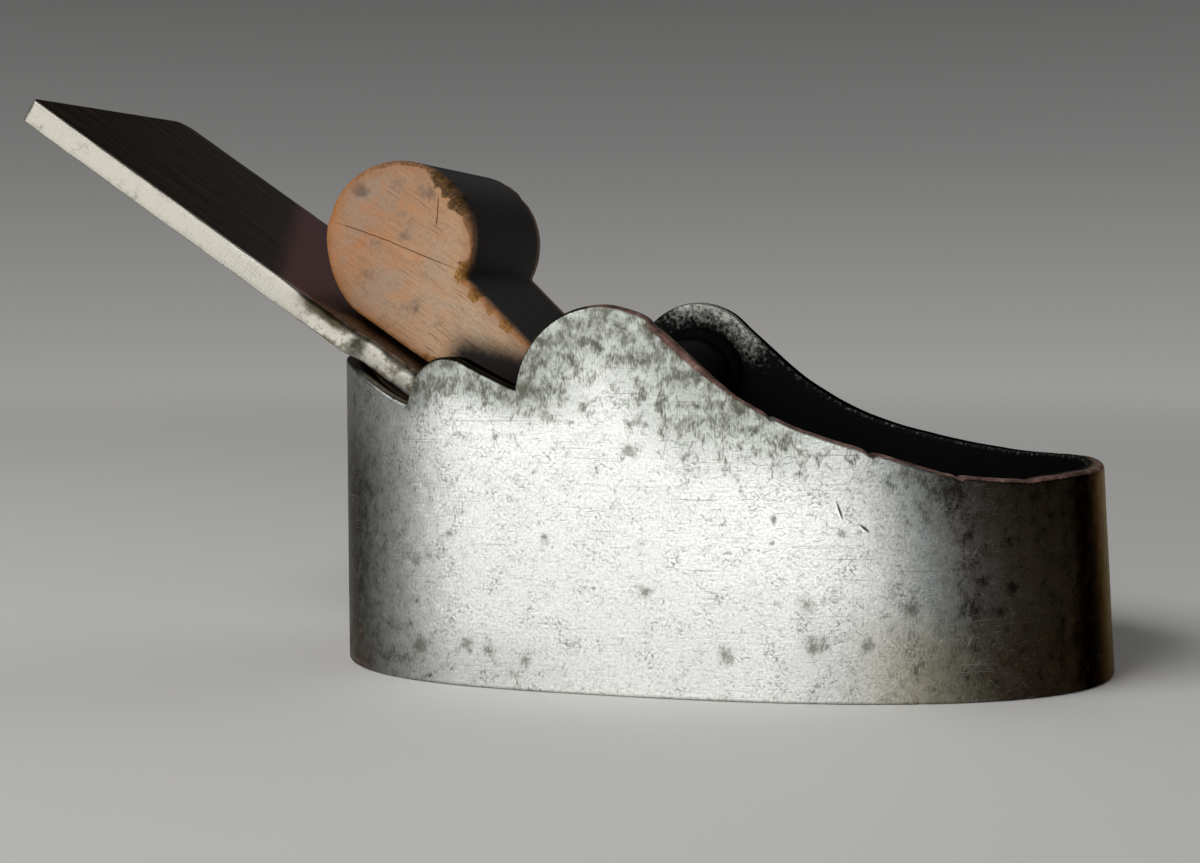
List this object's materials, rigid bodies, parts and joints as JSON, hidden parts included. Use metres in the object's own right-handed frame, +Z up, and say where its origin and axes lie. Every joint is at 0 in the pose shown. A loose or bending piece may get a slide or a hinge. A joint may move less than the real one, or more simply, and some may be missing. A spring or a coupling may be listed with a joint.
{
  "type": "luthier plane",
  "caption": "Small oval luthier's plane: a bent steel strip wall with humped rim, flat sole, thick sloping iron and a round-headed wooden wedge held under a cross bar.",
  "frame": {"origin": "middle of the body's length and width, on the sole face", "axes": "+X along the body to the toe, +Y to the far side, +Z up from the sole"},
  "size_m": [0.1152, 0.0498, 0.0602],
  "materials": {
    "wall_steel": "worn satin steel with dark patina at the rim, heel and toe",
    "sole_steel": "polished by use, fine scratches along the sole",
    "bar_steel": "dark satin steel",
    "iron_steel": "dark brown patina on the faces, bright filed sides",
    "screw_steel": "satin",
    "braze": "dull copper-coloured filler",
    "wedge_wood": "worn red-brown hardwood",
    "bed_wood": "oil-darkened hardwood"
  },
  "bodies": {
    "plane_body": {"body_band": "wall_steel", "seam_braze": "braze", "sole_plate": "sole_steel", "sole_braze": "braze", "bed_block": "bed_wood", "bed_screw_1": "screw_steel", "bed_screw_2": "screw_steel", "cross_bar": "bar_steel", "near_bar_braze": "braze", "far_bar_braze": "braze"},
    "iron": {"cutting_iron": "iron_steel"},
    "wedge": {"wedge": "wedge_wood"}
  },
  "joints": [
    {"name": "iron_slide", "type": "slide", "parent": "plane_body", "child": "iron", "axis": [-0.829, 0, 0.5592], "range_m": [-0.0012, 0.06]},
    {"name": "wedge_slide", "type": "slide", "parent": "plane_body", "child": "wedge", "axis": [-0.829, 0, 0.5592], "range_m": [0, 0.04]}
  ]
}
